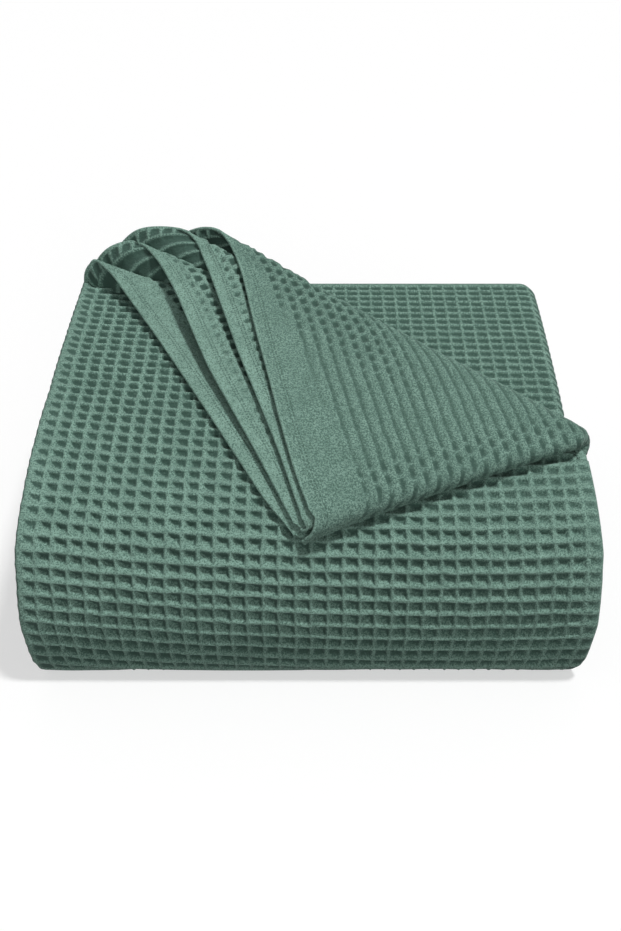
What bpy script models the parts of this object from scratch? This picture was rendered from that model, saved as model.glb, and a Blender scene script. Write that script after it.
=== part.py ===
"""A waffle weave cotton blanket, folded for the shelf, with one corner turned over.

The cloth is one sheet with its hems. It is folded in half twice across its width, which gives a bundle of
four layers, and the bundle is then folded back and forth into a stack of seven: the top, the front and the
bottom wrap round five looser inner folds. The back right corner of the top bundle is turned over onto the
top along a slanting fold, so its four hems arch up at the back left and fan out.

The sheet is worked out as a middle surface, then given its thickness. A point of the folded bundle has three
numbers: x across the bundle, the distance along it from the top bundle's back hem, and its height in the
bundle, in pitches. Layer 1 lies at height -1.5 and layer 4, the outer face of the stack, at height 1.5.
Metres, +Z up. The front faces -Y, and the origin is at the middle of the underside.
"""

import math

import bmesh
import bpy
import numpy as np

# The sheet
SHEET = 0.0022  # thickness of the cloth
PITCH = 0.0032  # from layer to layer where the bundle wraps round the stack

# The wrap: top, front and bottom. Each row says how steeply the bundle falls at a distance from its hem.
SLOPES = (  # distance, degrees below level
    (0.000, 1.5),
    (0.081, 4.4),
    (0.122, 6.0),
    (0.178, 10.6),
    (0.209, 17.6),
    (0.236, 22.6),
    (0.260, 32.4),
    (0.281, 42.9),
    (0.299, 63.0),
    (0.321, 75.0),
    (0.357, 89.5),
    (0.376, 96.0),
    (0.394, 110.0),
    (0.414, 180.0),
)
BOTTOM_RUN = 0.245  # flat on the surface, from the front roll to the back fold
HALF_WIDTHS = (  # distance, half the width of the stack there
    (0.000, 0.1900),
    (0.160, 0.1965),
    (0.250, 0.2035),
    (0.300, 0.2080),
    (0.355, 0.2080),
    (0.391, 0.2030),
    (0.414, 0.1950),
    (0.670, 0.1930),
)

# The inner folds, which stand on the bottom bundle. A level is one layer's room in the stack.
LEVELS = 20  # five inner bundles of four layers
TURN_REACH = 2  # levels from the middle of a fold to the middle of the bundle that turns round it
TURNS = (  # side, level of its middle, distance of that middle from the front, left end, right end
    ("back", 0, 0.303, -0.193, 0.194),
    ("front", 4, 0.038, -0.194, 0.197),
    ("back", 8, 0.312, -0.195, 0.193),
    ("front", 12, 0.050, -0.196, 0.200),
    ("back", 16, 0.316, -0.190, 0.195),
)
INNER_END = 0.068  # where the last inner bundle's hem lies, from the front

# The corner turned over. Each layer's hem arches off the base to a crest and runs down to the corner's tip.
FOLD_ANGLE = math.radians(32.0)  # of the fold line to the back hem
FOLD_SIDE = 0.222  # distance from the back hem at which the fold line meets the right side
TIP_X, TIP_S = -0.012, 0.287  # where the turned-over corner's tip lies: x, and its distance from the back hem
HEMS = (  # height in the bundle, x where it leaves; crest x, distance, height; bow left, lean back
    (-1.5, -0.158, -0.079, 0.013, 0.063, -0.002, 0.018),
    (-0.5, -0.173, -0.114, 0.008, 0.0545, 0.002, 0.013),
    (0.5, -0.183, -0.156, 0.006, 0.041, -0.004, 0.009),
    (1.5, -0.186, -0.183, 0.005, 0.024, 0.010, 0.004),
)
ARCH_SQUARENESS = 0.9  # 1 gives an arch that is a quarter of an ellipse, and less one that is fuller
CREST_ROUNDING = 0.10  # how much of a hem's run down is still turning over its crest
RUN_SAG = 0.006  # how far a hem hangs below its straight run
CREST_DROOP = 1.8  # how soon a layer's crest sinks from its hem towards the side
LOOP_WIDTH = 0.90  # how far a loop stands out at the side, to how far it would if it were round
FLAP_PITCH = 0.0036  # from layer to layer where the corner lies down
FLAP_CLEAR = 0.0058  # from the base's top layer to the flap's lowest one
TIP = 0.985  # how near the rounded corner the flap's last row lies

# How finely the sheet is divided
ACROSS = 6  # faces across each layer
OUTER_FOLD_ANGLES = (45, 90, 135)  # degrees round the outer right fold
LOOP_FACES = 8  # round the turned-over fold
FLAP_FACES = 7  # along the turned-over corner
FAN_FACES = 7  # on the base, from the fold line to the first level row
FAN_START = 0.278  # distance from the hem of the first level row
FAN_LEAD = 0.010  # from the fold line to the first row on the base, at the right side
LEVEL_ROWS = (0.290, 0.299, 0.310, 0.321, 0.340, 0.357, 0.373, 0.391, 0.399, 0.407, 0.414)  # distances
TURN_ANGLES = (-90, -50, -18, 18, 50, 90)  # degrees round an inner fold

COLOUR = (0.140, 0.290, 0.225, 1.0)


def interpolate(table, at, column=1):
    """A column of a short table, read between its rows."""
    return float(np.interp(at, [row[0] for row in table], [row[column] for row in table]))


class Path:
    """The middle line of the wrapping bundle, seen from the side, with y from its foremost point."""

    STEP = 0.001

    def __init__(self):
        end = SLOPES[-1][0] + BOTTOM_RUN
        self.s = np.arange(0.0, end + self.STEP, self.STEP)
        fall = np.radians([interpolate(SLOPES, s) for s in self.s])
        y = np.concatenate([[0.0], np.cumsum(-np.cos(fall[:-1]) * self.STEP)])
        z = np.concatenate([[0.0], np.cumsum(-np.sin(fall[:-1]) * self.STEP)])
        self.y = y - y.min()
        self.z = z - z[-1] + SHEET / 2 + 1.5 * PITCH
        self.out_y, self.out_z = -np.sin(fall), np.cos(fall)

    def at(self, s, height, upright=0):
        """The point this far along the path and this high above it, square to it or upright at the back."""
        along = min(max(s, 0.0), self.s[-1])
        out_y = np.interp(along, self.s, self.out_y)
        out_z = np.interp(along, self.s, self.out_z)
        y = np.interp(along, self.s, self.y) - (s - along) * out_z
        z = np.interp(along, self.s, self.z) + (s - along) * out_y
        lean = 1 - upright * (1 - np.interp(along, UPRIGHT, (0.0, 1.0)))
        stretch = math.hypot(out_y * lean, out_z)
        return y + height * out_y * lean / stretch, z + height * out_z / stretch

    def ceiling(self, y):
        """The height of the wrap's underside above a place inside the stack."""
        top = self.s < SLOPES[-2][0]
        under_y = (self.y - 2 * PITCH * self.out_y)[top][::-1]
        under_z = (self.z - 2 * PITCH * self.out_z)[top][::-1]
        return float(np.interp(y, under_y, under_z))


PATH = Path()
STACK_FLOOR = SHEET / 2 + 3.5 * PITCH  # height of level 0, between the bottom bundle and the inner folds
STACK_CLEAR = 0.002  # between the inner folds and the wrap
UPRIGHT = (0.04, 0.20)  # distances from the hem where the flap's heights stop being upright and become square


def stack_height(y, level):
    """The height of a level of the stack, y behind the front. The bottom bundle lies below level 0."""
    if level <= 0:
        return STACK_FLOOR + level * PITCH
    return STACK_FLOOR + level / LEVELS * (PATH.ceiling(y) - STACK_CLEAR - STACK_FLOOR)


def base_point(x, s, h):
    y, z = PATH.at(s, h * PITCH)
    return x, y, z


def lying_height(h):
    """The height of a layer of the turned-over corner where it lies flat, above the base bundle's middle."""
    return 1.5 * PITCH + FLAP_CLEAR + (1.5 - h) * FLAP_PITCH


def side_course(h, loop, run, bulge):
    """(x, distance, height) along the flap's side edge, after this much of its loop and of its run."""
    radius = (lying_height(h) - h * PITCH) / 2
    angle = math.pi * loop
    along = bulge * math.cos(FOLD_ANGLE)
    out = LOOP_WIDTH * radius * math.sin(angle) + bulge * math.sin(FOLD_ANGLE) * math.cos(angle)
    x = side(FOLD_SIDE) + (TIP_X - side(FOLD_SIDE)) * run
    s = FOLD_SIDE + (TIP_S - FOLD_SIDE) * run
    x += along * math.cos(FOLD_ANGLE) + out * math.sin(FOLD_ANGLE)
    s += along * math.sin(FOLD_ANGLE) - out * math.cos(FOLD_ANGLE)
    rise = radius * (1 - math.cos(angle)) + bulge * math.sin(FOLD_ANGLE) * math.sin(angle)
    return x, s, h * PITCH + rise


def hem_course(h, loop, run):
    """(x, distance, height) along the flap's hem: up off the base to its crest, then down to the tip."""
    leaves, crest_x, crest_s, crest, bow, lean = (interpolate(HEMS, h, column) for column in range(1, 7))
    if run <= 0:
        across, up = 1 - math.cos(math.pi / 2 * loop), math.sin(math.pi / 2 * loop) ** ARCH_SQUARENESS
        s = crest_s * across - lean * math.sin(math.pi * loop)
        return leaves + (crest_x - leaves) * across, s, h * PITCH + (crest - h * PITCH) * up
    tip = side_course(h, 1.0, 1.0, 0.0)
    turned = CREST_ROUNDING * (1 - math.exp(-run / CREST_ROUNDING))
    fallen = (run - turned) / (1 - CREST_ROUNDING)
    height = crest + (tip[2] - crest) * fallen - RUN_SAG * math.sin(math.pi * run)
    x = crest_x + (tip[0] - crest_x) * run - bow * math.sin(math.pi * run)
    return x, crest_s + (tip[1] - crest_s) * run, height


def flap_point(share, loop, run, h, bulge):
    """A point of the corner turned over, this share of the way from its hem to its side edge."""
    at_hem, at_side = hem_course(h, loop, run), side_course(h, loop, run, bulge)
    x = at_hem[0] + (at_side[0] - at_hem[0]) * share
    s = at_hem[1] + (at_side[1] - at_hem[1]) * share
    height = at_side[2] + (at_hem[2] - at_side[2]) * (1 - share) ** CREST_DROOP
    y, z = PATH.at(s, height, upright=1)
    return x, y, z


def section():
    """The sheet's course across the bundle: (share of the width, bulge past the side, height), in pitches."""
    level = [i / ACROSS for i in range(ACROSS + 1)]
    course = [(share, 0.0, -1.5) for share in level]
    for degrees in OUTER_FOLD_ANGLES:
        angle = math.radians(degrees)
        course.append((1.0, 1.5 * math.sin(angle), -1.5 * math.cos(angle)))
    course += [(share, 0.0, 1.5) for share in reversed(level)]
    course += [(0.0, -0.5, 1.0)]
    course += [(share, 0.0, 0.5) for share in level]
    course += [(1.0, 0.5, 0.0)]
    course += [(share, 0.0, -0.5) for share in reversed(level)]
    return course


COURSE = section()
LEFT_FOLD = 2 * (ACROSS + 1) + len(OUTER_FOLD_ANGLES)  # the course's point on the left fold


def base_row(left, right):
    """One row of the wrapping bundle, from its left end to its right one, each as (x, s)."""
    points = []
    for share, bulge, h in COURSE:
        x = left[0] + (right[0] - left[0]) * share + bulge * PITCH
        s = left[1] + (right[1] - left[1]) * share
        points.append(base_point(x, s, h))
    return points


def flap_row(loop, run):
    return [flap_point(share, loop, run, h, bulge * PITCH) for share, bulge, h in COURSE]


def side(s):
    """x of the right ends of the layers, inside the nested folds."""
    return interpolate(HALF_WIDTHS, s) - 1.5 * PITCH


def corner_rows():
    """Rows of the top bundle, from the corner's tip on, and whether each has the left fold."""
    rows = [(flap_row(1.0, TIP * (1 - i / FLAP_FACES)), False) for i in range(FLAP_FACES)]
    rows += [(flap_row(1 - i / LOOP_FACES, 0.0), False) for i in range(LOOP_FACES + 1)]
    for i in range(FAN_FACES + 1):
        left_s = FAN_START * i / FAN_FACES
        right_s = FOLD_SIDE + FAN_LEAD + (FAN_START - FOLD_SIDE - FAN_LEAD) * i / FAN_FACES
        rows.append((base_row((-interpolate(HALF_WIDTHS, left_s), left_s), (side(right_s), right_s)), True))
    return rows


def level_room(y):
    """The height of one level of the stack, y behind the front."""
    return (PATH.ceiling(y) - STACK_FLOOR) / LEVELS


def inner_row(place, left, right):
    """One row of an inner bundle. place gives (y, level) for each height in the bundle."""
    row = []
    for share, bulge, h in COURSE:
        y, level = place(h)
        room = level_room(y)
        x = left + (right - left - 1.5 * room) * share + bulge * room
        row.append((x, y, stack_height(y, level)))
    return row


def inner_rows():
    """Rows of the five inner folds, from the bottom bundle's back fold to the hem inside the stack."""
    rows = []
    last = len(TURNS) - 1
    for index, (kind, middle, at_y, left, right) in enumerate(TURNS):
        facing = 1 if kind == "back" else -1
        for degrees in TURN_ANGLES:
            angle = math.radians(degrees)

            def turning(h, facing=facing, at_y=at_y, middle=middle, angle=angle):
                reach = TURN_REACH + facing * h
                out = reach * level_room(at_y) * math.cos(angle)
                return at_y + facing * out, middle + reach * math.sin(angle)

            rows.append(inner_row(turning, left, right))
        _, _, next_y, next_left, next_right = TURNS[index + 1] if index < last else TURNS[last]
        if index == last:
            next_y = INNER_END
        middle_y = (at_y + next_y) / 2

        def running(h, facing=facing, y=middle_y, middle=middle):
            return y, middle + TURN_REACH + facing * h

        rows.append(inner_row(running, (left + next_left) / 2, (right + next_right) / 2))
    rows.append(inner_row(lambda h: (INNER_END, TURNS[last][1] + TURN_REACH + h), left, right))
    return rows


def build_sheet():
    """The middle surface of the whole sheet as one mesh, with its middle over the origin."""
    rows = corner_rows()
    for s in (*LEVEL_ROWS, SLOPES[-1][0] + BOTTOM_RUN / 2):
        rows.append((base_row((-interpolate(HALF_WIDTHS, s), s), (side(s), s)), True))
    rows += [(row, True) for row in inner_rows()]
    xs = [point[0] for row, _ in rows for point in row]
    ys = [point[1] for row, _ in rows for point in row]
    middle_x, middle_y = (min(xs) + max(xs)) / 2, (min(ys) + max(ys)) / 2
    mesh = bmesh.new()
    grid = [[mesh.verts.new((x - middle_x, y - middle_y, z)) for x, y, z in row] for row, _ in rows]
    for r in range(len(grid) - 1):
        folded = rows[r][1] and rows[r + 1][1]
        for c in range(len(COURSE) - 1):
            if not folded and c in (LEFT_FOLD - 1, LEFT_FOLD):
                continue
            corners = (grid[r][c], grid[r][c + 1], grid[r + 1][c + 1], grid[r + 1][c])
            mesh.faces.new(corners)
    unused = [vert for vert in mesh.verts if not vert.link_faces]
    bmesh.ops.delete(mesh, geom=unused, context="VERTS")
    bmesh.ops.recalc_face_normals(mesh, faces=mesh.faces)
    return mesh


def cotton():
    material = bpy.data.materials.new("sage_cotton")
    material.use_nodes = True
    surface = material.node_tree.nodes["Principled BSDF"]
    surface.inputs["Base Color"].default_value = COLOUR
    surface.inputs["Roughness"].default_value = 0.95
    surface.inputs["Metallic"].default_value = 0.0
    return material


def main():
    for old in list(bpy.data.objects):
        bpy.data.objects.remove(old)
    sheet = build_sheet()
    data = bpy.data.meshes.new("blanket_cloth")
    sheet.to_mesh(data)
    sheet.free()
    blanket = bpy.data.objects.new("blanket_cloth", data)
    bpy.context.scene.collection.objects.link(blanket)
    data.materials.append(cotton())
    data.shade_smooth()
    thick = blanket.modifiers.new("thickness", "SOLIDIFY")
    thick.thickness = SHEET
    thick.offset = 0.0
    thick.use_rim = True


main()
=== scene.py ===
"""The waffle weave blanket as it looks: the folded cloth with its weave, hems and fine yarn.

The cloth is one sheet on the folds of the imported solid. It is made here in three sections that meet without
being joined: the corner turned over, the wrap (top, front and bottom) and the inner folds. Hidden layers are
plain. The faces that show are woven: waffle cells with raised ridges and sunk middles, laid along the cloth.
The cells are deeper than the cloth is thick, so the hidden faces just under them are left out. Part of their
shading is painted, as an attribute. As in the source of the solid, a point of the bundle has x across it,
a distance s from the top bundle's back hem, and a height h in the bundle: layer 1 lies at -1.5 and layer 4,
the outer face of the stack, at 1.5. Metres, +Z up.
"""

import math

import bpy
import numpy as np
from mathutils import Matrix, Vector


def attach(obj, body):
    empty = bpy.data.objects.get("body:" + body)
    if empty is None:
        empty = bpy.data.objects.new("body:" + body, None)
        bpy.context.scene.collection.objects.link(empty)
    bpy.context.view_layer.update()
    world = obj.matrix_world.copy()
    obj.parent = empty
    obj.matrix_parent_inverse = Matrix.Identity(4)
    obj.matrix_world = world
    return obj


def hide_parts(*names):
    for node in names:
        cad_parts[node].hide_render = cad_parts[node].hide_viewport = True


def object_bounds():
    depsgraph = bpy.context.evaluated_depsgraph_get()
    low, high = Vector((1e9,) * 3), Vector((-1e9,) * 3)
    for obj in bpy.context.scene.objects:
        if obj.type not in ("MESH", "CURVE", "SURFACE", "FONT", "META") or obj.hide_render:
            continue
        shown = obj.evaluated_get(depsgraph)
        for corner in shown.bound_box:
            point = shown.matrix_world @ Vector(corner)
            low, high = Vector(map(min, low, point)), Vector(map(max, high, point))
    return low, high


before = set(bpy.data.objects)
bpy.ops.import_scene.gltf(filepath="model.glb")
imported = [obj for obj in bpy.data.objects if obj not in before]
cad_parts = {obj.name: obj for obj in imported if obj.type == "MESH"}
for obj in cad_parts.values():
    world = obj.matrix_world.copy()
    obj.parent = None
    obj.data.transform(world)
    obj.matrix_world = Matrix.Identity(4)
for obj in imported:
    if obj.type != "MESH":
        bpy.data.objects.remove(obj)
CAD_LOW, CAD_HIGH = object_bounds()

# The folds, the same numbers as the solid has
SHEET = 0.0022  # thickness of the cloth
PITCH = 0.0032  # from layer to layer where the bundle wraps round the stack
SLOPES = (  # distance, degrees below level
    (0.000, 1.5),
    (0.081, 4.4),
    (0.122, 6.0),
    (0.178, 10.6),
    (0.209, 17.6),
    (0.236, 22.6),
    (0.260, 32.4),
    (0.281, 42.9),
    (0.299, 63.0),
    (0.321, 75.0),
    (0.357, 89.5),
    (0.376, 96.0),
    (0.394, 110.0),
    (0.414, 180.0),
)
BOTTOM_RUN = 0.245  # flat on the surface, from the front roll to the back fold
HALF_WIDTHS = (  # distance, half the width of the stack there
    (0.000, 0.1900),
    (0.160, 0.1965),
    (0.250, 0.2035),
    (0.300, 0.2080),
    (0.355, 0.2080),
    (0.391, 0.2030),
    (0.414, 0.1950),
    (0.670, 0.1930),
)
LEVELS = 20  # five inner bundles of four layers
TURN_REACH = 2  # levels from the middle of a fold to the middle of the bundle that turns round it
TURNS = (  # side, level of its middle, distance of that middle from the front, left end, right end
    ("back", 0, 0.303, -0.193, 0.194),
    ("front", 4, 0.038, -0.194, 0.197),
    ("back", 8, 0.312, -0.195, 0.193),
    ("front", 12, 0.050, -0.196, 0.200),
    ("back", 16, 0.316, -0.190, 0.195),
)
INNER_END = 0.068  # where the last inner bundle's hem lies, from the front
FOLD_ANGLE = math.radians(32.0)  # of the fold line to the back hem
FOLD_SIDE = 0.222  # distance from the back hem at which the fold line meets the right side
HEM_LINES = (  # a hem's places as (x, distance, height): up its arch to the crest, then down to the tip
    (  # layer 1
        ((-0.150, 0.000, -0.005), (-0.136, -0.005, 0.026), (-0.104, 0.000, 0.050), (-0.082, 0.012, 0.060)),
        ((-0.082, 0.012, 0.060), (-0.068, 0.028, 0.0585), (-0.055, 0.0630, 0.049), (-0.040, 0.137, 0.0375))
        + ((-0.017, 0.232, 0.0275), (0.000, 0.279, 0.0245)),
    ),
    (  # layer 2
        ((-0.173, 0.000, -0.002), (-0.168, -0.004, 0.024), (-0.145, 0.003, 0.053), (-0.112, 0.008, 0.058)),
        ((-0.112, 0.008, 0.058), (-0.095, 0.0225, 0.0562), (-0.082, 0.053, 0.045), (-0.053, 0.1505, 0.030))
        + ((-0.025, 0.228, 0.0225), (-0.005, 0.283, 0.020)),
    ),
    (  # layer 3
        ((-0.183, 0.000, 0.0015), (-0.182, 0.000, 0.020), (-0.168, 0.003, 0.038), (-0.145, 0.006, 0.045)),
        ((-0.145, 0.006, 0.045), (-0.127, 0.028, 0.0425), (-0.108, 0.0660, 0.0325), (-0.076, 0.1556, 0.0215))
        + ((-0.037, 0.236, 0.0165), (-0.010, 0.286, 0.0155)),
    ),
    (  # layer 4
        ((-0.1915, 0.000, 0.005), (-0.190, 0.001, 0.015), (-0.186, 0.002, 0.022), (-0.180, 0.004, 0.027)),
        ((-0.180, 0.004, 0.027), (-0.165, 0.0200, 0.0230), (-0.150, 0.0440, 0.0165), (-0.130, 0.0810, 0.0118))
        + ((-0.084, 0.1755, 0.0102), (-0.040, 0.2535, 0.0101), (-0.009, 0.292, 0.0106)),
    ),
)
TIPS = (  # height in the bundle, x and distance of the layer's corner
    (-1.5, 0.000, 0.279),
    (-0.5, -0.005, 0.283),
    (0.5, -0.010, 0.286),
    (1.5, -0.009, 0.292),
)
CREST_DROOP = 1.8  # over 1, the corner's crest sinks quickly from the hem towards the side
LOOP_WIDTH = 0.90  # of the loop at the side edge, to its radius
PULLED_IN = 0.004  # how far the flap's side lies inside the stack's at the fold
FLAP_PITCH = 0.0036  # from layer to layer where the corner lies down, at the fold
TIP_PITCH = 0.0046  # and at its tip
FLAP_CLEAR = 0.0058  # from the base's top layer to the flap's lowest one
STACK_FLOOR = SHEET / 2 + 3.5 * PITCH  # height of level 0
STACK_CLEAR = 0.002  # between the inner folds and the wrap
UPRIGHT = (0.04, 0.20)  # where the flap's heights stop being upright and become square to the base

# The weave
CELLS_ACROSS = 35.5  # cells from the left fold to the right one
CELL_WIDTH = 0.0114
CELL_LENGTH = 0.0100
CORNER_CELL_WIDTH, CORNER_CELL_LENGTH = 0.0109, 0.0089
ROW_LENGTHS = (  # distance, length of a cell there: stretched a little where the front bulges
    (0.000, 0.0097),
    (0.200, 0.0094),
    (0.275, 0.0092),
    (0.300, 0.0099),
    (0.325, 0.0106),
    (0.350, 0.0109),
    (0.372, 0.0102),
    (0.440, 0.0100),
)
ROW_TILT = (  # share of the width, how far the rows are shifted back there
    (0.00, 0.0170),
    (0.15, 0.0110),
    (0.30, 0.0065),
    (0.50, 0.0022),
    (0.72, 0.0000),
    (0.86, 0.0004),
    (1.00, 0.0022),
)
STEPS = 6  # faces along a side of a cell


def smooth_step(low, high, at):
    share = np.clip((at - low) / (high - low), 0.0, 1.0)
    return share * share * (3 - 2 * share)


def read(rows, at, column=1):
    """A column of a short table, read between its rows."""
    return np.interp(at, [row[0] for row in rows], [row[column] for row in rows])


class Path:
    """The middle line of the wrapping bundle, seen from the side, with y from its foremost point."""

    STEP = 0.001

    def __init__(self):
        end = SLOPES[-1][0] + BOTTOM_RUN
        self.s = np.arange(0.0, end + self.STEP, self.STEP)
        fall = np.radians(read(SLOPES, self.s))
        y = np.concatenate([[0.0], np.cumsum(-np.cos(fall[:-1]) * self.STEP)])
        z = np.concatenate([[0.0], np.cumsum(-np.sin(fall[:-1]) * self.STEP)])
        self.y = y - y.min()
        self.z = z - z[-1] + SHEET / 2 + 1.5 * PITCH
        self.out_y, self.out_z = -np.sin(fall), np.cos(fall)

    def at(self, s, height, upright=0):
        """The point this far along the path and this high above it, square to it or upright at the back."""
        along = np.clip(s, 0.0, self.s[-1])
        out_y = np.interp(along, self.s, self.out_y)
        out_z = np.interp(along, self.s, self.out_z)
        y = np.interp(along, self.s, self.y) - (s - along) * out_z
        z = np.interp(along, self.s, self.z) + (s - along) * out_y
        lean = 1 - upright * (1 - np.interp(along, UPRIGHT, (0.0, 1.0)))
        stretch = np.hypot(out_y * lean, out_z)
        return y + height * out_y * lean / stretch, z + height * out_z / stretch

    def ceiling(self, y):
        """The height of the wrap's underside above a place inside the stack."""
        top = self.s < SLOPES[-2][0]
        under_y = (self.y - 2 * PITCH * self.out_y)[top][::-1]
        under_z = (self.z - 2 * PITCH * self.out_z)[top][::-1]
        return np.interp(y, under_y, under_z)


PATH = Path()
# The solid's box says where the origin lies: its right side and its front are the outermost faces there.
RIGHT = read(HALF_WIDTHS, 0.32) + SHEET / 2
MIDDLE_X = RIGHT - CAD_HIGH.x
MIDDLE_Y = -(1.5 * PITCH + SHEET / 2) - CAD_LOW.y


def point(x, y, z):
    """Points from their x, y and z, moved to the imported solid's origin."""
    x, y, z = np.broadcast_arrays(x, y, z)
    return np.stack([x - MIDDLE_X, y - MIDDLE_Y, z], axis=-1)


def half_width(s):
    return read(HALF_WIDTHS, s)


def side(s):
    """x of the right ends of the layers, inside the nested folds."""
    return half_width(s) - 1.5 * PITCH


def base_point(x, s, h):
    y, z = PATH.at(s, h * PITCH)
    return point(x, y, z)


def lying_height(h, run=0.0):
    """The height of a layer of the turned-over corner where it lies flat, above the base bundle's middle."""
    return 1.5 * PITCH + FLAP_CLEAR + (1.5 - h) * (FLAP_PITCH + (TIP_PITCH - FLAP_PITCH) * run)


def side_course(h, loop, run, bulge):
    """(x, distance, height) along the flap's side edge, after this much of its loop and of its run."""
    radius = (lying_height(h, run) - h * PITCH) / 2
    angle = math.pi * loop
    bulge = bulge * (1 + (TIP_PITCH / PITCH - 1) * run)
    along = bulge * math.cos(FOLD_ANGLE)
    out = LOOP_WIDTH * radius * np.sin(angle) + bulge * math.sin(FOLD_ANGLE) * np.cos(angle)
    x = side(FOLD_SIDE) + (read(TIPS, h) - side(FOLD_SIDE)) * run
    s = FOLD_SIDE + (read(TIPS, h, 2) - FOLD_SIDE) * run
    x = x + along * math.cos(FOLD_ANGLE) + out * math.sin(FOLD_ANGLE)
    x = x - PULLED_IN * (1 - np.cos(angle)) / 2 * (1 - run)
    s = s + along * math.sin(FOLD_ANGLE) - out * math.cos(FOLD_ANGLE)
    rise = radius * (1 - np.cos(angle)) + bulge * math.sin(FOLD_ANGLE) * np.sin(angle)
    return x, s, h * PITCH + rise


def even_places(line, count):
    """A line's places at even steps of its length."""
    length = np.concatenate([[0.0], np.cumsum(np.linalg.norm(np.diff(line, axis=0), axis=1))])
    even = np.linspace(0, length[-1], count)
    return np.stack([np.interp(even, length, column) for column in line.T], axis=-1)


def smooth_line(places):
    """A smooth curve through a few places, with 40 places on each stretch."""
    places = np.array(places)
    ends = np.concatenate([[2 * places[0] - places[1]], places, [2 * places[-1] - places[-2]]])
    found = []
    for before, start, end, after in zip(ends, ends[1:], ends[2:], ends[3:]):
        t = np.linspace(0, 1, 40)[:, None]
        bend = (2 * before - 5 * start + 4 * end - after) * t**2 + (3 * (start - end) + after - before) * t**3
        found.append((2 * start + (end - before) * t + bend) / 2)
    return np.concatenate(found)


def hem_curve(arch, run):
    line = smooth_line(arch + run[1:])
    crest = 40 * (len(arch) - 1)
    return np.concatenate([even_places(line[: crest + 1], 120), even_places(line[crest:], 120)])


HEM_CURVES = [hem_curve(arch, run) for arch, run in HEM_LINES]
HEM_WAYS = np.concatenate([np.linspace(0, 1, 120), np.linspace(1, 2, 120) + 1e-6])


def hem_course(h, way):
    """(x, distance, height) along the hem of a layer: up off the base to its crest, then down to the tip."""
    found = [np.stack([np.interp(way, HEM_WAYS, column) for column in curve.T]) for curve in HEM_CURVES]
    place = np.clip(h + 1.5, 0, 3)
    lower = np.minimum(place.astype(int), 2) if np.ndim(place) else int(min(place, 2))
    share = place - lower
    shape = np.broadcast_shapes(np.shape(way), np.shape(h))
    found = [np.broadcast_to(curve, (3,) + shape) for curve in found]
    below = np.select([lower == i for i in range(3)], found[:3])
    above = np.select([lower == i for i in range(3)], found[1:])
    return below + (above - below) * share


def flap_point(share, way, h, bulge):
    """A point of the corner turned over. way is 0 to 1 round its loop and 1 to 2 along its run to the tip."""
    loop, run = np.clip(way, 0, 1), np.clip(way - 1, 0, 1)
    at_hem, at_side = hem_course(h, way), side_course(h, loop, run, bulge)
    x = at_hem[0] + (at_side[0] - at_hem[0]) * share
    s = at_hem[1] + (at_side[1] - at_hem[1]) * share
    height = at_side[2] + (at_hem[2] - at_side[2]) * (1 - share) ** CREST_DROOP
    y, z = PATH.at(s, height, upright=1)
    return point(x, y, z)


def level_room(y):
    """The height of one level of the stack, y behind the front."""
    return (PATH.ceiling(y) - STACK_FLOOR) / LEVELS


def stack_height(y, level):
    """The height of a level of the stack, y behind the front. The bottom bundle lies below level 0."""
    lifted = STACK_FLOOR + level / LEVELS * (PATH.ceiling(y) - STACK_CLEAR - STACK_FLOOR)
    return np.where(level <= 0, STACK_FLOOR + level * PITCH, lifted)


# The cloth's faces
RIDGE = 0.0022  # how far the ridges of the weave stand above the middle of the cloth
DEPTH = 0.0056  # from a ridge to the bottom of a cell
COLUMN_RIDGE = 0.76  # height of the ridges between columns, to those between rows
RIDGE_FLAT = 1.03  # over 1, the ridges are rounded off instead of sharp
END_WALL = 0.3  # of half a cell's width, the flat part of its bottom
CELL_BOTTOM = 0.36  # where a cell is deepest, from its upper ridge: they sag a little, as they hang
SKEWED = (  # share of the width, where a cell is deepest across, how much its bottom slants down to the right
    (0.0, 0.62, 0.36),
    (0.4, 0.58, 0.24),
    (0.8, 0.50, 0.0),
    (1.0, 0.46, 0.0),
)
DRIFT = 0.06  # of a cell, how far the ridges stray
rng = np.random.default_rng(11)
UNEVEN = rng.uniform(-1.0, 1.0, (64, 64))


def waffle(u, v, column_ridge=COLUMN_RIDGE, bottom_u=0.5, slant=0.0, flat=RIDGE_FLAT):
    """How high the weave is, and whether that is on a cell's upper or right wall.

    The height is 0 at the bottom of a cell and 1 on its ridges. u counts cells across the cloth, v along it.
    """
    u, v = u % 1.0, v % 1.0
    across = np.where(u < bottom_u, (bottom_u - u) / bottom_u, (u - bottom_u) / (1 - bottom_u))
    across = column_ridge * np.clip((across - END_WALL) / (1 - END_WALL), 0, 1)
    bottom = CELL_BOTTOM + slant * (u - 0.5)
    along = np.where(v < bottom, (bottom - v) / bottom, (v - bottom) / (1 - bottom))
    turned_down = np.where(along > across, v < bottom + 0.01, u > bottom_u - 0.01)
    return np.minimum(flat * np.maximum(across, along), 1.0), turned_down


def cell_noise(u, v):
    """-1 to 1, one value for each cell."""
    return UNEVEN[np.floor(u).astype(int) % 64, np.floor(v).astype(int) % 64]


def drift(u, v):
    """-1 to 1, changing smoothly from cell to cell, for rows and columns that aren't quite straight."""
    low_u, low_v = np.floor(u).astype(int), np.floor(v).astype(int)
    share_u, share_v = smooth_step(0, 1, u - low_u), smooth_step(0, 1, v - low_v)
    left, right = low_u % 64, (low_u + 1) % 64
    first, second = low_v % 64, (low_v + 1) % 64
    near = UNEVEN[left, first] * (1 - share_u) + UNEVEN[right, first] * share_u
    far = UNEVEN[left, second] * (1 - share_u) + UNEVEN[right, second] * share_u
    return near * (1 - share_v) + far * share_v


def unit(vectors):
    return vectors / np.maximum(np.linalg.norm(vectors, axis=-1, keepdims=True), 1e-12)


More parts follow.
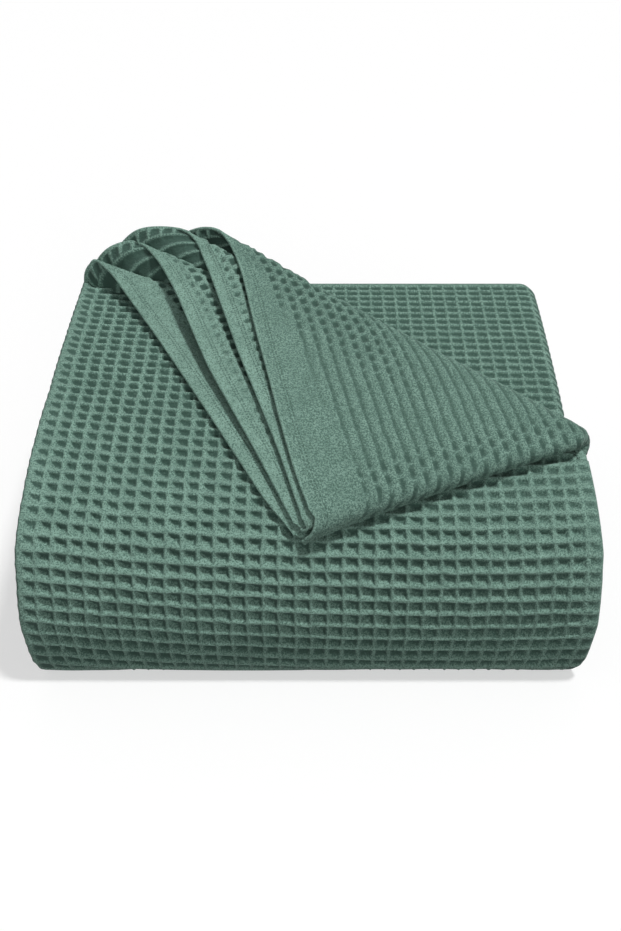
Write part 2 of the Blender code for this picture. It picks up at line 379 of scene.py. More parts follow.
def facing(points):
    """The direction square to a grid of points. It is up where rows run forward and columns run right."""
    return unit(np.cross(np.gradient(points, axis=0), np.gradient(points, axis=1)))


NO_AREA = 1e-12  # faces smaller than this are left out


class Section:
    """The faces of one section of the cloth, gathered before its mesh is made."""

    def __init__(self):
        self.points, self.weave, self.hollow, self.plain, self.faces = [], [], [], [], []
        self.count = 0

    def add(self, points, u, v, keep=None, back=False, hollow=0.0, plain=0.0):
        """A grid of points as triangles, split the way that the sides of the waffle cells slope."""
        rows, columns = points.shape[:2]
        u, v = np.broadcast_to(u, (rows, columns)), np.broadcast_to(v, (rows, columns))
        index = self.count + np.arange(rows * columns).reshape(rows, columns)
        a, b, c, d = index[:-1, :-1], index[:-1, 1:], index[1:, 1:], index[1:, :-1]
        middle_u = (u[:-1, :-1] + u[1:, 1:]) / 2 % 1.0
        middle_v = (v[:-1, :-1] + v[1:, 1:]) / 2 % 1.0
        slanting = ((middle_u < 0.5) == (middle_v < 0.5))[..., None, None]
        first = np.stack([np.stack([a, d, c], -1), np.stack([a, c, b], -1)], -2)
        second = np.stack([np.stack([a, d, b], -1), np.stack([b, d, c], -1)], -2)
        faces = np.where(slanting, first, second)
        faces = faces.reshape(-1, 3) if keep is None else faces[keep].reshape(-1, 3)
        self.faces.append(faces[:, ::-1] if back else faces)
        points = np.concatenate([points[..., :2], np.maximum(points[..., 2:], 0.0)], axis=-1)
        self.points.append(points.reshape(-1, 3))
        self.weave.append(np.stack([u, v], -1).reshape(-1, 2))
        self.hollow.append(np.broadcast_to(hollow, (rows, columns)).ravel())
        self.plain.append(np.full(rows * columns, plain))
        self.count += rows * columns

    def object(self, name, material):
        points, weave = np.concatenate(self.points), np.concatenate(self.weave)
        used, faces = np.unique(np.concatenate(self.faces), return_inverse=True)
        faces = faces.reshape(-1, 3)
        points, weave = points[used], weave[used]
        corners = points[faces]
        area = np.linalg.norm(np.cross(corners[:, 1] - corners[:, 0], corners[:, 2] - corners[:, 0]), axis=1)
        faces = faces[area > NO_AREA]
        data = bpy.data.meshes.new(name)
        data.vertices.add(len(points))
        data.vertices.foreach_set("co", points.astype(np.float32).ravel())
        data.loops.add(len(faces) * 3)
        data.loops.foreach_set("vertex_index", faces.astype(np.int32).ravel())
        data.polygons.add(len(faces))
        data.polygons.foreach_set("loop_start", np.arange(0, len(faces) * 3, 3, dtype=np.int32))
        data.update(calc_edges=True)
        layer = data.uv_layers.new(name="weave")
        layer.data.foreach_set("uv", weave[faces.ravel()].astype(np.float32).ravel())
        # The painted shade of the cells goes to the material as an attribute, with the plain faces marked.
        for label, values in (("hollow", self.hollow), ("plain", self.plain)):
            values = np.concatenate(values)[used].astype(np.float32)
            data.attributes.new(label, "FLOAT", "POINT").data.foreach_set("value", values)
        data.validate()
        data.shade_smooth()
        data.materials.append(material)
        made = bpy.data.objects.new(name, data)
        bpy.context.scene.collection.objects.link(made)
        return made


# Where the rows of the weave lie along the wrap
ROW_STEP = 0.001
ROW_S = np.arange(0.0, 0.72, ROW_STEP)
ROW_COUNT = np.concatenate([[0.0], np.cumsum(ROW_STEP / read(ROW_LENGTHS, ROW_S[:-1]))])


def row_at(s, share):
    """The row of cells at a distance along the wrap and a share of its width."""
    return np.interp(s + read(ROW_TILT, share), ROW_S, ROW_COUNT)


def row_distance(row, share):
    return np.interp(row, ROW_COUNT, ROW_S) - read(ROW_TILT, share)


# ---- plain faces: both faces of every layer, on a grid like the solid's but finer
ACROSS = 14


def course():
    """The sheet's course across the bundle: layer, share of the width, bulge past the side, height."""
    level = np.linspace(0, 1, ACROSS + 1)
    found = [(1, share, 0.0, -1.5) for share in level]
    for angle in np.radians((20, 45, 70, 90, 110, 135, 160)):
        found.append((14, 1.0, 1.5 * math.sin(angle), -1.5 * math.cos(angle)))
    found += [(4, share, 0.0, 1.5) for share in level[::-1]]
    for angle in np.radians((45, 90, 135)):
        found.append((43, 0.0, -0.5 * math.sin(angle), 1.0 + 0.5 * math.cos(angle)))
    found += [(3, share, 0.0, 0.5) for share in level]
    for angle in np.radians((45, 90, 135)):
        found.append((32, 1.0, 0.5 * math.sin(angle), 0.5 * math.cos(angle)))
    found += [(2, share, 0.0, -0.5) for share in level[::-1]]
    return [np.array(column) for column in zip(*found)]


LAYER, SHARE, BULGE, HEIGHT = course()
FACE_LAYER = np.where(LAYER[:-1] == LAYER[1:], LAYER[:-1], np.maximum(LAYER[:-1], LAYER[1:]))


def plain_faces(section, middle, u, v, half, skip_up, skip_down):
    """Both faces of a grid of the whole course, with rims. The weave covers skip_down and hides skip_up."""
    out = facing(middle)
    upper, lower = middle + out * half, middle - out * half
    u, v = np.broadcast_to(u, middle.shape[:2]), np.broadcast_to(v, middle.shape[:2])
    section.add(upper, u, v, ~skip_up, plain=1.0)
    section.add(lower, u, v, ~skip_down, back=True, plain=1.0)
    for column, turned in ((0, False), (-1, True)):
        rim = np.stack([lower[:, column], upper[:, column]], axis=1)
        edge_u = np.stack([u[:, column]] * 2, axis=1)
        edge_v = np.stack([v[:, column]] * 2, axis=1)
        section.add(rim, edge_u, edge_v, back=turned)


HEM_WIDTH = (0.021, 0.030)  # where the flat hem ends and the cells have their full depth
HEM_FACE = 0.0012  # how far the hem's face stands above the middle of the cloth
UNEVEN_DEPTH = 0.12  # of their depth, how much deeper or shallower single cells are


def weave(
    u, v, past_hem, ridge=RIDGE, depth=DEPTH, least_shade=0.0, shade_strength=1.0, shaded=0.0, staggered=False, **shape
):
    """How far a woven face stands above the middle of the cloth, and how much painted shade its cells get.

    Shaded is how much more painted shade the upper and right walls get than the others. Where staggered,
    every other row is half a cell over, as bricks are.
    """
    high, turned_down = waffle(u + 0.5 * (np.floor(v) % 2) * staggered, v, **shape)
    hollow = (1 - high) * past_hem
    height = ridge - depth * (1 + UNEVEN_DEPTH * cell_noise(u, v)) * hollow
    # Painted shade: the upper and right walls get more of it, the other walls less.
    hollow = np.minimum(hollow * (1 + shaded * np.where(turned_down, 1.3, -0.55)), 1.0)
    return height + (HEM_FACE - ridge) * (1 - past_hem), np.maximum(shade_strength * hollow, least_shade)


def grid(first, last, steps=STEPS):
    """Counts of cells from first to last, with this many steps in each cell."""
    return np.arange(math.floor(first * steps), math.ceil(last * steps) + 1) / steps


# ---- the wrap
FOLD_LEFT = (-0.190, 0.0)  # x and distance of the fold line's ends on the base
FOLD_END = 0.232
FOLD_RIGHT = (side(FOLD_END), FOLD_END)
FAN_END = 0.278  # where the rows of plain faces have fanned out from the fold line to straight across
FRONT_ROWS = (0.284, 0.43)  # distances of the first and last of the plain rows round the front
BOTTOM_ROWS = (0.44, 0.5365)  # and of those along the bottom
WRAP_END = BOTTOM_ROWS[1]
FRONT_END = 0.440  # how far the front is woven, just under the front roll
HIDDEN_MARGIN = 0.034  # how far the woven front reaches under the corner
OVERLAPS = (0.008, 0.004)  # of plain and woven faces, at the woven front's end and under the corner
SIDE_FACE = RIDGE - 0.0006  # how far the woven face stands out near the side folds, where it is flatter
SIDE_FLATNESS = 0.85
CELL_LOOKS = (  # distance, how much painted shade the cells get, height of the ridges between columns, part of a cell without it
    (0.000, 0.60, 0.58, 0.0),
    (0.160, 0.60, 0.62, 0.0),
    (0.230, 0.60, 0.82, 0.0),
    (0.290, 0.55, 0.94, 0.0),
    (0.360, 0.65, 0.96, 0.0),
    (0.385, 1.10, 0.92, 0.10),
    (0.410, 1.50, 0.92, 0.15),
)


def fold_distance(x):
    """The fold line's distance from the back hem at x."""
    return np.interp(x, (FOLD_LEFT[0], FOLD_RIGHT[0]), (FOLD_LEFT[1], FOLD_RIGHT[1]))


def line_side(x, s, start, end):
    """How far a point lies to the left of a line, as seen along it with s to the right."""
    along_x, along_s = end[0] - start[0], end[1] - start[1]
    return ((x - start[0]) * along_s - (s - start[1]) * along_x) / math.hypot(along_x, along_s)


def covered(x, s, margin):
    """Whether a place on the base lies under the turned-over corner, this far inside its outline."""
    from_hem = line_side(x, s, FOLD_LEFT, TIPS[-1][1:])
    from_side = line_side(x, s, TIPS[-1][1:], FOLD_RIGHT)
    return (from_hem > margin) & (from_side > margin)


def faces_of(at_corners):
    """A true-or-false grid of points as one of faces, true where all four corners are."""
    return at_corners[:-1, :-1] & at_corners[:-1, 1:] & at_corners[1:, 1:] & at_corners[1:, :-1]


def touching(at_corners):
    """A true-or-false grid of points as one of faces, true where any corner is."""
    return at_corners[:-1, :-1] | at_corners[:-1, 1:] | at_corners[1:, 1:] | at_corners[1:, :-1]


def across_bundle(u, room):
    """Share of the width, bulge, height in the bundle and how far turned, along the outer face."""
    share = np.clip(u / CELLS_ACROSS, 0, 1)
    left = np.clip(-u * CELL_WIDTH / (0.5 * room), 0, math.pi)
    right = np.clip((u - CELLS_ACROSS) * CELL_WIDTH / (1.5 * room), 0, math.pi)
    bulge = np.where(u < 0, -0.5 * np.sin(left), 1.5 * np.sin(right))
    height = np.where(u < 0, 1.0 + 0.5 * np.cos(left), 1.5 * np.cos(right))
    turned = np.maximum(left, right) / math.pi
    return share, bulge, height, turned


def wrap_section():
    section = Section()
    fan = np.linspace(0, 1, 25)
    left_s = np.concatenate([FAN_END * fan, np.linspace(*FRONT_ROWS, 26), np.linspace(*BOTTOM_ROWS, 5)])
    right_s = left_s.copy()
    right_s[: len(fan)] = FOLD_END + (FAN_END - FOLD_END) * fan
    left_s, right_s = left_s[:, None], right_s[:, None]
    s = left_s + (right_s - left_s) * SHARE
    x = -half_width(left_s) + (side(right_s) + half_width(left_s)) * SHARE + BULGE * PITCH
    middle = base_point(x, s, HEIGHT)
    woven = faces_of((s < FRONT_END - OVERLAPS[0]) & ~covered(x, s, HIDDEN_MARGIN - OVERLAPS[1]))
    outer = woven & np.isin(FACE_LAYER, (4, 43, 14))
    inner = woven & np.isin(FACE_LAYER, (3, 4))
    plain_faces(section, middle, SHARE * CELLS_ACROSS, row_at(s, SHARE), SHEET / 2, inner, outer)

    u = grid(-math.pi * 0.5 * PITCH / CELL_WIDTH, CELLS_ACROSS + math.pi * 1.5 * PITCH / CELL_WIDTH)
    v = grid(0, row_at(FRONT_END, 0.0))
    u, v = np.meshgrid(u, v)
    share, bulge, height, turned = across_bundle(u + DRIFT * drift(u, v + 9), PITCH)
    s = np.maximum(row_distance(v + DRIFT * drift(u + 5, v), share), 0.0)
    x = -half_width(s) + (side(s) + half_width(s)) * share + bulge * PITCH
    middle = base_point(x, s, height)
    keep = (s < FRONT_END) & ~covered(x, s, HIDDEN_MARGIN) & (s > fold_distance(x) - 0.002)
    looks = dict(column_ridge=read(CELL_LOOKS, s, 2))
    looks.update(bottom_u=read(SKEWED, share), slant=read(SKEWED, share, 2))
    # Painted shade in the cells, more on their upper and right walls, except in the bottom rows and less
    # towards the right.
    shaded = (1 - smooth_step(0.350, 0.385, s)) * (1 - 0.7 * smooth_step(0.5, 0.9, share))
    raised, hollow = weave(u, v, smooth_step(0.002, 0.006, s), shaded=shaded, **looks)
    flattened = 1 - smooth_step(-0.4, 2.0, u) * smooth_step(-0.4, 1.6, CELLS_ACROSS - u)
    raised = raised + (SIDE_FACE - raised) * SIDE_FLATNESS * flattened
    raised = raised * (1 - turned) + SHEET / 2 * turned
    # How much painted shade the cells get, read along the front, and less of it towards the right.
    hollow = np.maximum(hollow - read(CELL_LOOKS, s, 3), 0) * read(CELL_LOOKS, s)
    hollow = hollow * (1 - 0.2 * smooth_step(0.6, 0.95, share))
    section.add(middle + facing(middle) * raised[..., None], u, v, faces_of(keep), hollow=hollow)
    return section


# ---- the inner folds
LAST_TURN = len(TURNS) - 1
STACK_DEPTH = 0.0044  # of the cells
STACK_SIDE_FACE = 0.0013  # how far the woven face stands out where it turns round the side folds
STACK_SIDE_FLATNESS = 0.75
PAST_SIDES = (1.2, 3.6)  # cells round the left folds and round the right ones
TURN_WOVEN = 1.08  # how far the back turns are woven, where 1 is the end of the turn
WOVEN_UNDER = 0.03  # how far the top of the stack is woven past the fold line
WOVEN_BACK = 0.13  # y behind which all of the top is woven


def stack_path(t, h):
    """(y, level, left end, right end) of a layer. t counts half turns and runs by turns, from the bottom."""
    index = np.clip((t // 2).astype(int), 0, LAST_TURN)
    following = np.clip(index + 1, 0, LAST_TURN)
    turned = np.clip(t - 2 * index, 0, 1)
    run = np.clip(t - 2 * index - 1, 0, 1)
    _, middle, at_y, left, right = (np.array([turn[i] for turn in TURNS]) for i in range(5))
    sign = np.where(index % 2 == 0, 1, -1)
    next_y = np.where(index == LAST_TURN, INNER_END, at_y[following])
    angle = math.pi * (turned - 0.5)
    reach = TURN_REACH + sign * h
    y = at_y[index] + sign * reach * level_room(at_y[index]) * np.cos(angle)
    y = y + (next_y - at_y[index]) * run
    level = middle[index] + reach * np.sin(angle)
    return (
        y,
        level,
        left[index] + (left[following] - left[index]) * run,
        right[index] + (right[following] - right[index]) * run,
    )


def stack_point(t, share, bulge, h):
    y, level, left, right = stack_path(t, h)
    room = level_room(y)
    x = left + (right - left - 1.5 * room) * share + bulge * room
    return point(x, y, stack_height(y, level))


END_T = 2.0 * LAST_TURN + 2
STACK_T = np.linspace(0, END_T, 1201)
STACK_MIDDLE = stack_point(STACK_T, 0.5, 0.0, 1.5)
STACK_LENGTH = np.concatenate([[0.0], np.cumsum(np.linalg.norm(np.diff(STACK_MIDDLE, axis=0), axis=1))])
BACK_ROW = ROW_COUNT[round((SLOPES[-1][0] + BOTTOM_RUN) / ROW_STEP)]
STACK_ROW = BACK_ROW + STACK_LENGTH / CELL_LENGTH  # the row of cells at each t


def woven_stack(section, first_t, last_t, u, steps, keep=None):
    """The outer face of the inner bundles between two places on their path."""
    v = grid(np.interp(first_t, STACK_T, STACK_ROW), np.interp(last_t, STACK_T, STACK_ROW), steps)
    t = np.interp(v, STACK_ROW, STACK_T)
    inside = (t >= first_t) & (t <= last_t)
    t, v = t[inside], v[inside]
    u, v = np.meshgrid(u, v)
    t = t[:, None] + 0 * u
    y = stack_path(t, 1.5)[0]
    share, bulge, height, turned = across_bundle(u, level_room(y))
    middle = stack_point(t, share, bulge, height)
    # Painted shade in the cells, more on their upper and right walls.
    raised, hollow = weave(u, v, 1.0, depth=STACK_DEPTH, shade_strength=0.62, shaded=1.0, column_ridge=0.53)
    raised = raised + (STACK_SIDE_FACE - raised) * smooth_step(0.0, 0.25, turned) * STACK_SIDE_FLATNESS
    kept = None if keep is None else keep(middle)
    section.add(middle + facing(middle) * raised[..., None], u, v, kept, hollow=hollow)


def stack_section():
    section = Section()
    turn = np.linspace(0, 1, 11)[:-1]
    run = np.linspace(1, 2, 9)[:-1]
    t = np.concatenate([2 * i + np.concatenate([turn, run]) for i in range(len(TURNS))] + [[END_T]])[:, None]
    middle = stack_point(t, SHARE, BULGE, HEIGHT)
    x = -half_width(WRAP_END) + (side(WRAP_END) + half_width(WRAP_END)) * SHARE + BULGE * PITCH
    middle = np.concatenate([base_point(x, WRAP_END + 0 * x, HEIGHT)[None], middle])
    first_row = ROW_COUNT[int(WRAP_END / ROW_STEP)]
    v = np.concatenate([[[first_row]], np.interp(t, STACK_T, STACK_ROW)]) + 0 * SHARE
    u = SHARE * CELLS_ACROSS + 0 * v
    turning = np.concatenate([[[False]], (t % 4 < 1) | (t >= 8)]) & (LAYER > 0)
    outer = faces_of(turning) & np.isin(FACE_LAYER, (4, 43, 14))
    inner = faces_of(turning) & (FACE_LAYER == 4)
    plain_faces(section, middle, u, v, SHEET / 2, inner, outer)
    u = grid(-PAST_SIDES[0], CELLS_ACROSS + PAST_SIDES[1], 5)
    for index in (0, 2):
        woven_stack(section, 2.0 * index, 2.0 * index + TURN_WOVEN, u, 5)

    def showing(middle):
        """Where the top of the stack can show. The first 300 places of the path are the top's."""
        s = np.interp(-(middle[..., 1] + MIDDLE_Y), -PATH.y[:300], PATH.s[:300])
        near_fold = s < fold_distance(middle[..., 0] + MIDDLE_X) + WOVEN_UNDER
        return faces_of(near_fold | (middle[..., 1] > WOVEN_BACK))

    woven_stack(section, 8.0, END_T, u, 5, showing)
    return section


# ---- the corner turned over
LAST_WAY = 1.985  # the run stops just short of the tip, where it would have no width
WAYS = np.linspace(0, LAST_WAY, 400)
CORNER_HALF = 0.0006  # half the thickness of the corner's plain faces
PLAIN_FROM = 0.048  # how far from the hem they begin, where the woven faces of the bands end
RUN_CELLS = (13, 18)  # rows and columns of cells drawn on the plain faces, for each unit of way
FOLD_CELLS = (23, 35)  # and along the fold line
BAND_CELLS = 6.5  # rows of cells on a band, from its hem
RIB_CELLS = 9  # rows of cells inside a loop, from its hem
HEM_ROLL = 0.0014  # radius of the rolled edge
SIDE_TURN_FACE = 0.0014  # how far the woven face stands out where it turns round the side edge


class Corner:
    """One layer of the corner turned over, measured along its hem and along its side."""

    def __init__(self, h):
        self.h = h
        hem = flap_point(0.0, WAYS, h, 0.0)
        edge = flap_point(1.0, WAYS, h, 0.0)
        self.from_tip = self.lengths(hem)  # along the hem
        self.from_hem = self.lengths(edge)  # along the side
        self.hem_length, self.side_length = self.from_tip[0], self.from_hem[0]

    @staticmethod
    def lengths(line):
        steps = np.linalg.norm(np.diff(line, axis=0), axis=1)
        return np.concatenate([np.cumsum(steps[::-1])[::-1], [0.0]]) + 1e-5

    def way_at(self, across, along):
        """The way and share of the place this far from the side edge and this far from the hem."""
        low, high = np.zeros_like(across), np.full_like(across, WAYS[-1])
        for _ in range(26):
            way = (low + high) / 2
            from_tip, from_hem = (np.interp(way, WAYS, line) for line in (self.from_tip, self.from_hem))
            past = across / from_tip + along / from_hem > 1
            high = np.where(past, way, high)
            low = np.where(past, low, way)
        return way, np.clip(along / np.interp(way, WAYS, self.from_hem), 0, 1)

    def face(self, u, v, turn_radius=0.0):
        """The middle of the cloth where u counts cells from the side edge, and v from the hem."""
        loose = np.clip(v - 1, 0, 1) * np.clip(u, 0, 1) * DRIFT
        across = (u + loose * drift(u, v + 9)) * CORNER_CELL_WIDTH
        along = (v + loose * drift(u + 5, v)) * CORNER_CELL_LENGTH
        way, share = self.way_at(np.maximum(across, 0.0), along)
        inside = np.maximum(across, 0) / self.hem_length + along / self.side_length < 1
        h, bulge = self.h + 0 * u, 0 * u
        if turn_radius:
            angle = np.clip(-across / (turn_radius * PITCH), 0, math.pi)
            h = np.where(across < 0, -turn_radius * np.cos(angle), h)
            bulge = np.where(across < 0, turn_radius * np.sin(angle), 0.0)
            share = np.where(across < 0, 1.0, share)
        return flap_point(share, way, h, bulge * PITCH), inside, way


def corner_section(layers):
    section = Section()
    ways = np.concatenate([np.linspace(LAST_WAY, 1.0, 22), np.linspace(1.0, 0.0, 21)[1:]])[:, None]
    middle = flap_point(SHARE, ways, HEIGHT, BULGE * PITCH)
    x = FOLD_LEFT[0] + (FOLD_RIGHT[0] - FOLD_LEFT[0]) * SHARE + BULGE * PITCH
    s = FOLD_RIGHT[1] * SHARE
    middle = np.concatenate([middle, base_point(x, s, HEIGHT)[None]])
    v = np.concatenate([(2 - ways) * RUN_CELLS[0] * SHARE, FOLD_CELLS[0] * SHARE[None]])
    u = np.concatenate([(2 - ways) * RUN_CELLS[1] * (1 - SHARE), FOLD_CELLS[1] * (1 - SHARE)[None]])
    from_hem = np.full(middle.shape[:2], 1.0)
    for number, layer in layers.items():
        own = LAYER == number
        from_hem[:-1, own] = SHARE[own] * np.interp(ways, WAYS, layer.from_hem)
    near_hem = faces_of(from_hem < PLAIN_FROM)
    lying = (np.arange(len(middle) - 1) < len(ways) - 3)[:, None]
    running = np.concatenate([ways[:-1] > 1.02, [[False]]])
    unfolded = FACE_LAYER == 43
    outer = (lying & np.isin(FACE_LAYER, (1, 14))) | near_hem | unfolded
    inner = (running & (FACE_LAYER == 1)) | near_hem | unfolded
    plain_faces(section, middle, u, v, CORNER_HALF, inner, outer)
    return section


def band_looks(u, v, way):
    """The weave of the corner's bands: cells that are staggered as bricks are, with painted shade in them
    that grows away from the hem, more in some cells than in others.
    """
    shade_strength = 1.5 * smooth_step(0.8, 2.6, v) * (1 + 0.35 * cell_noise(u + 3, v))
    return dict(ridge=0.0026, depth=0.0026, shade_strength=shade_strength, column_ridge=1.6, flat=1.2, staggered=True)


def top_looks(u, v, way):
    """The weave of the corner's top: staggered cells at the crest and at the side, faint stripes between,
    with painted shade in the cells, more at the crest and the side, and a little over all of the top.
    """
    crest = (1 - smooth_step(1.12, 1.42, way)) * (1 - smooth_step(7, 13, v))
    strong = np.maximum(0.45 * (1 - smooth_step(1.3, 2.3, u)), crest)
    looks = dict(ridge=0.0030, depth=0.0012 + 0.0018 * strong, shade_strength=0.55 + 0.50 * strong, least_shade=0.22)
    return dict(looks, column_ridge=0.18 + 1.12 * strong, flat=1.5 - 0.4 * strong, staggered=True)


def rib_looks(u, v, way):
    """The weave inside the loops: short ribs across the hem, then long ones along it, with strong painted
    shade in the cells.
    """
    return dict(ridge=0.0022, depth=0.0022, shade_strength=1.5, column_ridge=1.4 - smooth_step(0.9, 1.3, v))


def woven_corner(section, layer, below, last_v, hem, looks, last_way=2.0, turn_radius=0.0, spread=0.0):
    """A woven face of the corner: the bundle's lower one, which shows, or the one inside its loop.

    hem is where the flat hem ends and where the cells are full. It grows by spread along the run.
    """
    first_u = -math.pi * turn_radius * PITCH / CORNER_CELL_WIDTH
    u, v = np.meshgrid(grid(first_u, layer.hem_length / CORNER_CELL_WIDTH), grid(0, last_v))
    middle, inside, way = layer.face(u, v, turn_radius)
    keep = touching(inside) & faces_of(way <= last_way)  # points past the fold line lie on it
    wider = 1 + spread * np.clip(way - 1.1, 0, 1)
    past_hem = smooth_step(hem[0] * wider, hem[1] * wider, v * CORNER_CELL_LENGTH)
    raised, hollow = weave(u, v, past_hem, **looks(u, v, way))
    if turn_radius:
        flattened = 0.9 * (1 - smooth_step(-0.6, 0.6, u))
        raised = raised + (SIDE_TURN_FACE - raised) * flattened
    out = facing(middle) * (1 if below else -1)
    section.add(middle + out * raised[..., None], u, v, keep, back=not below, hollow=hollow)


def plain_under(section, layer, last_v):
    """The plain face under a woven one where the corner lies flat."""
    u, v = np.meshgrid(grid(0, layer.hem_length / CORNER_CELL_WIDTH, 2), grid(0, last_v, 2))
    middle, inside, way = layer.face(u, v)
    keep = faces_of(inside & (way >= 0.98))
    section.add(middle - facing(middle) * 2 * CORNER_HALF, u, v, keep, back=True, plain=1.0)


def rolled_hem(section, layer, turn_radius=0.0):
    """The rolled edge along a hem."""
    first_u = -math.pi * turn_radius * PITCH / CORNER_CELL_WIDTH
    u, v = np.meshgrid(grid(first_u, layer.hem_length / CORNER_CELL_WIDTH, 12), np.array([0.0, 0.05, 0.10]))
    middle, _, _ = layer.face(u, v, turn_radius)
    out = facing(middle)[1]
    inward = unit(middle[2] - middle[0])
    angle = np.linspace(0, 2 * math.pi, 11)[:, None, None]
    ring = middle[1] + HEM_ROLL * (np.cos(angle) * inward + np.sin(angle) * out)
    section.add(ring, np.broadcast_to(u[0], ring.shape[:2]), np.zeros(ring.shape[:2]) + 0.05)


def woven_corners(section, layers):
    """The woven faces, plain backs and rolled hems of all the corner's layers."""
    last_v = layers[1].side_length / CORNER_CELL_LENGTH
    woven_corner(section, layers[1], True, last_v, (0.006, 0.022), top_looks, turn_radius=1.5, spread=2.0)
    woven_corner(section, layers[2], True, BAND_CELLS, (0.006, 0.011), band_looks, turn_radius=0.5)
    woven_corner(section, layers[3], True, BAND_CELLS, (0.009, 0.016), band_looks)
    woven_corner(section, layers[4], True, BAND_CELLS, HEM_WIDTH, band_looks)
    plain_under(section, layers[1], last_v)
    for layer in layers.values():
        woven_corner(section, layer, False, RIB_CELLS, (0.001, 0.004), rib_looks, last_way=1.0)
    for number in (2, 3, 4):
        plain_under(section, layers[number], BAND_CELLS)
    rolled_hem(section, layers[1], 1.5)
    rolled_hem(section, layers[2], 0.5)
    rolled_hem(section, layers[3])
    rolled_hem(section, layers[4])


# ---- material, light, camera
class Nodes:
    """Adds nodes to a material, each joined to what it reads."""

    def __init__(self, material):
        self.tree = material.node_tree

    def add(self, kind, *inputs, out=0, **settings):
        node = self.tree.nodes.new(kind)
        for name, value in settings.items():
            setattr(node, name, value)
        for index, value in enumerate(inputs):
            if isinstance(value, bpy.types.NodeSocket):
                self.tree.links.new(value, node.inputs[index])
            elif value is not None:
                node.inputs[index].default_value = value
        return node.outputs[out]

    def math(self, operation, *inputs):
        return self.add("ShaderNodeMath", *inputs, operation=operation)

    def between(self, value, low, high, to_low=0.0, to_high=1.0):
        inputs = (value, low, high, to_low, to_high)
        return self.add("ShaderNodeMapRange", *inputs, interpolation_type="SMOOTHSTEP")

    def mixed(self, share, first, second):
        node = self.tree.nodes.new("ShaderNodeMix")
        node.data_type = "RGBA"
        for index, value in ((0, share), (6, first), (7, second)):
            if isinstance(value, bpy.types.NodeSocket):
                self.tree.links.new(value, node.inputs[index])
            else:
                node.inputs[index].default_value = value
        return node.outputs[2]


PALE, DARK = (0.240, 0.385, 0.320, 1), (0.084, 0.156, 0.126, 1)  # colours of the yarn
SHADE_AND_STITCH = (0.046, 0.090, 0.072, 1)  # painted shade in the cells, and the colour of the stitches
STITCH_ROWS = (0.78, 1.02)  # where the hem is stitched, in rows of cells from its edge


def cotton():
    """Sage cotton: speckled yarn with a fine tooth all over, and painted shade in the cells."""
    material = bpy.data.materials.new("sage_cotton")
    material.use_nodes = True
    nodes = Nodes(material)
    surface = material.node_tree.nodes["Principled BSDF"]
    weave = nodes.add("ShaderNodeUVMap", uv_map="weave")
    place = nodes.add("ShaderNodeTexCoord", out=3)
    u = nodes.add("ShaderNodeSeparateXYZ", weave)
    v = nodes.add("ShaderNodeSeparateXYZ", weave, out=1)

    def from_bottom(count, bottom):
        """0 at the bottom of a cell and 1 at both its edges, where count goes from 0 to 1 across it."""
        within = nodes.math("FRACT", count)
        before = nodes.math("MULTIPLY_ADD", within, -1 / bottom, 1.0)
        after = nodes.math("MULTIPLY_ADD", within, 1 / (1 - bottom), -bottom / (1 - bottom))
        return nodes.math("MAXIMUM", before, after)

    def value(name):
        return nodes.add("ShaderNodeAttribute", attribute_name=name, out=2)

    ridge = nodes.math("MAXIMUM", from_bottom(u, 0.5), from_bottom(v, CELL_BOTTOM))
    # On the plain faces the cells are drawn: painted shade towards their bottoms, and a bump.
    drawn = nodes.math("MULTIPLY", ridge, value("plain"))
    hollow = nodes.math("MULTIPLY_ADD", nodes.math("SUBTRACT", value("plain"), drawn), 0.6, value("hollow"))
    speckle = nodes.add("ShaderNodeTexNoise", place, None, 850.0, 3.0, 0.7)
    tufts = nodes.add("ShaderNodeTexNoise", place, None, 480.0, 2.0, 0.6)
    cloud = nodes.add("ShaderNodeTexNoise", place, None, 60.0, 2.0, 0.5)
    # The speckle is darker where there is painted shade.
    seen = nodes.math("MULTIPLY_ADD", hollow, -0.2, speckle)
    colour = nodes.mixed(nodes.between(seen, 0.37, 0.54), DARK, PALE)
    colour = nodes.mixed(nodes.between(tufts, 0.50, 0.68, 0.0, 0.45), colour, DARK)
    colour = nodes.mixed(nodes.between(cloud, 0.3, 0.7, 0.0, 0.25), colour, DARK)
    # Painted shade in the cells.
    colour = nodes.mixed(nodes.between(hollow, 0.08, 0.62, 0.0, 0.85), colour, SHADE_AND_STITCH)
    stitch = nodes.math("ADD", *(nodes.math("COMPARE", v, row, 0.05) for row in STITCH_ROWS))
    dash = nodes.math("LESS_THAN", nodes.math("FRACT", nodes.math("MULTIPLY", u, 4.0)), 0.62)
    colour = nodes.mixed(nodes.math("MULTIPLY", nodes.math("MULTIPLY", stitch, dash), 0.6), colour, SHADE_AND_STITCH)
    material.node_tree.links.new(colour, surface.inputs["Base Color"])
    surface.inputs["Roughness"].default_value = 0.95
    surface.inputs["Specular IOR Level"].default_value = 0.15
    surface.inputs["Sheen Weight"].default_value = 0.06
    surface.inputs["Sheen Roughness"].default_value = 0.5

    woven = nodes.add("ShaderNodeBump", 0.9, 0.0025, 0.1, drawn)
    fuzz = nodes.add("ShaderNodeBump", 0.6, 0.0016, 0.1, tufts, woven)
    bump = nodes.add("ShaderNodeBump", 0.55, 0.0006, 0.1, speckle, fuzz)
    nodes.tree.links.new(bump, surface.inputs["Normal"])
    return material


COTTON = cotton()
corner_layers = {number: Corner(number - 2.5) for number in (1, 2, 3, 4)}
corner = corner_section(corner_layers)
woven_corners(corner, corner_layers)
corner_piece = corner.object("blanket_cloth_corner", COTTON)
front_piece = wrap_section().object("blanket_cloth_front", COTTON)
stack_piece = stack_section().object("blanket_cloth_stack", COTTON)
for piece in (corner_piece, front_piece, stack_piece):
    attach(piece, "root")
    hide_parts("blanket_cloth")


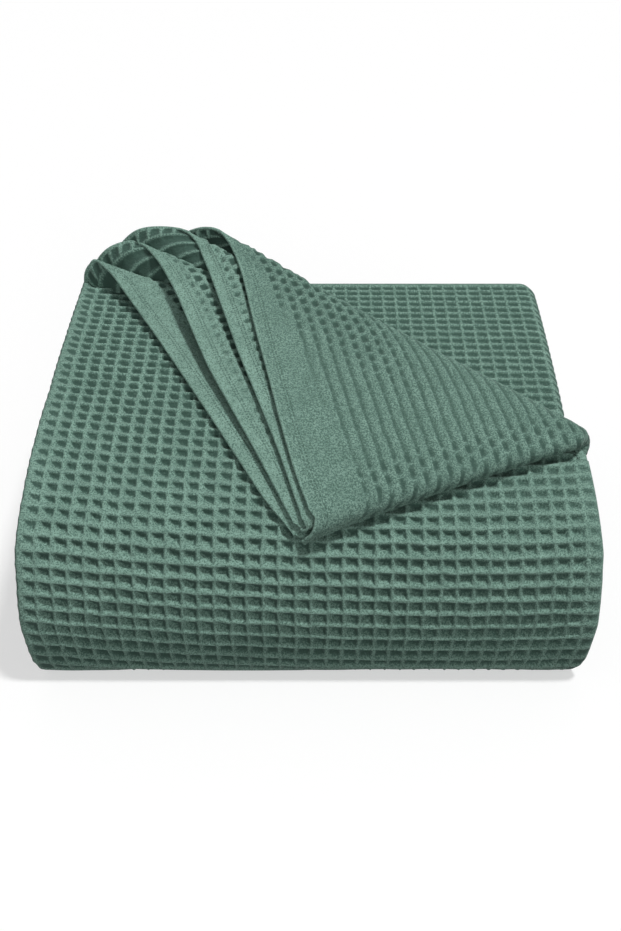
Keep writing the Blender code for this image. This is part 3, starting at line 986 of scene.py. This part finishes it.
def glowing(name, points, faces, grey, glow):
    """A plain object for the studio, which gives off some white light of its own."""
    data = bpy.data.meshes.new(name)
    data.from_pydata(points, [], faces)
    material = bpy.data.materials.new(name)
    material.use_nodes = True
    surface = material.node_tree.nodes["Principled BSDF"]
    surface.inputs["Base Color"].default_value = (grey, grey, grey, 1)
    surface.inputs["Emission Color"].default_value = (1, 1, 1, 1)
    surface.inputs["Emission Strength"].default_value = glow
    data.materials.append(material)
    made = bpy.data.objects.new(name, data)
    bpy.context.scene.collection.objects.link(made)
    return made


square = ((-6, -6), (6, -6), (6, 6), (-6, 6))
floor = glowing("floor", [(x, y, 0) for x, y in square], [(0, 1, 2, 3)], 0.42, 0.56)
floor.visible_diffuse = False  # the floor shows and takes the shadow, but doesn't light the cloth from below
# White walls far behind everything, which only the camera sees
corners = [(x, y, z) for z in (-0.1, 8.0) for x, y in square]
sides = [(i, (i + 1) % 4, (i + 1) % 4 + 4, i + 4) for i in range(4)]
walls = glowing("backdrop", corners, sides, 0.0, 1.0)
walls.visible_diffuse = walls.visible_glossy = walls.visible_shadow = False

world = bpy.context.scene.world or bpy.data.worlds.new("world")
bpy.context.scene.world = world
world.use_nodes = True
world.node_tree.nodes["Background"].inputs["Color"].default_value = (1, 1, 1, 1)
world.node_tree.nodes["Background"].inputs["Strength"].default_value = 0.26


def sunlight(name, turned, height, strength, softness):
    """A distant light, turned to the right of the front and this high, both in degrees."""
    data = bpy.data.lights.new(name, "SUN")
    data.energy = strength
    data.angle = math.radians(softness)
    light = bpy.data.objects.new(name, data)
    light.rotation_euler = (math.radians(90 - height), 0, math.radians(turned))
    bpy.context.scene.collection.objects.link(light)


sunlight("key", 68, 71, 2.5, 8)
sunlight("fill", 12, 22, 0.6, 25)

camera_data = bpy.data.cameras.new("camera")
camera = bpy.data.objects.new("camera", camera_data)
camera_data.lens = 56.35
camera_data.sensor_width = 36
camera.location = (0.0008, CAD_LOW.y - 0.821, 0.728)
camera.rotation_euler = (math.radians(57), 0, 0)
bpy.context.scene.collection.objects.link(camera)
bpy.context.scene.camera = camera
bpy.context.scene.view_settings.view_transform = "Standard"
